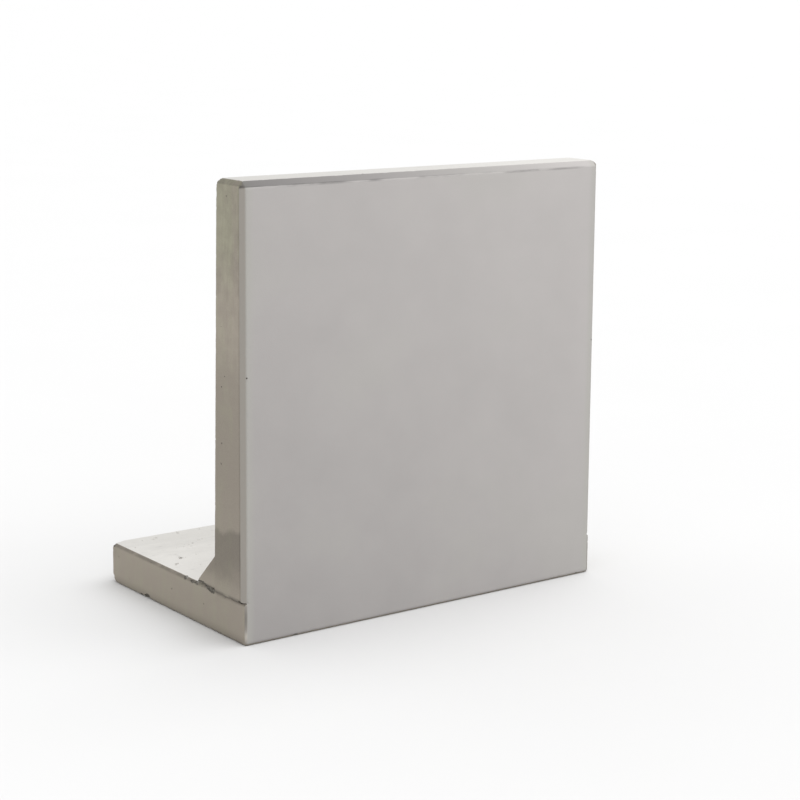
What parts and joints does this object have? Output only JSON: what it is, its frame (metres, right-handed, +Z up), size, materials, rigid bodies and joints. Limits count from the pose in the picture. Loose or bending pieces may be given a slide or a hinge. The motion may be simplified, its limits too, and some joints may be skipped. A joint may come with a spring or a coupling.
{
  "type": "precast concrete l-shaped retaining wall element",
  "caption": "Free-standing L-shaped concrete wall element: a smooth upright face on a flat rear foot, with a haunch in the inner corner and threaded lifting sockets behind.",
  "frame": {"origin": "middle of the resting face, under the middle of the overall box", "axes": "+X along the length of the wall, +Y from the smooth face towards the heel and the backfill, +Z up"},
  "size_m": [0.99, 0.6, 1],
  "materials": {
    "concrete": "matte",
    "bar_steel": "matte",
    "socket_zinc": "satin",
    "spacer_plastic": "matte"
  },
  "bodies": {
    "root": {"concrete_wall": "concrete", "rear_bar_1": "bar_steel", "rear_bar_2": "bar_steel", "rear_bar_3": "bar_steel", "rear_bar_4": "bar_steel", "rear_bar_5": "bar_steel", "rear_bar_6": "bar_steel", "rear_bar_7": "bar_steel", "face_bar_1": "bar_steel", "face_bar_2": "bar_steel", "face_bar_3": "bar_steel", "face_bar_4": "bar_steel", "face_bar_5": "bar_steel", "face_bar_6": "bar_steel", "face_bar_7": "bar_steel", "haunch_bar_1": "bar_steel", "haunch_bar_2": "bar_steel", "haunch_bar_3": "bar_steel", "haunch_bar_4": "bar_steel", "haunch_bar_5": "bar_steel", "haunch_bar_6": "bar_steel", "rear_cross_bar_1": "bar_steel", "rear_cross_bar_2": "bar_steel", "rear_cross_bar_3": "bar_steel", "rear_cross_bar_4": "bar_steel", "rear_cross_bar_5": "bar_steel", "rear_cross_bar_6": "bar_steel", "rear_cross_bar_7": "bar_steel", "face_cross_bar_1": "bar_steel", "face_cross_bar_2": "bar_steel", "face_cross_bar_3": "bar_steel", "face_cross_bar_4": "bar_steel", "face_cross_bar_5": "bar_steel", "face_cross_bar_6": "bar_steel", "face_cross_bar_7": "bar_steel", "foot_upper_cross_bar_1": "bar_steel", "foot_upper_cross_bar_2": "bar_steel", "foot_upper_cross_bar_3": "bar_steel", "foot_upper_cross_bar_4": "bar_steel", "foot_lower_cross_bar_1": "bar_steel", "foot_lower_cross_bar_2": "bar_steel", "foot_lower_cross_bar_3": "bar_steel", "foot_lower_cross_bar_4": "bar_steel", "left_lifting_socket": "socket_zinc", "right_lifting_socket": "socket_zinc", "left_anchor_bar": "bar_steel", "right_anchor_bar": "bar_steel", "face_spacers": "spacer_plastic", "foot_spacers": "spacer_plastic"}
  },
  "joints": []
}
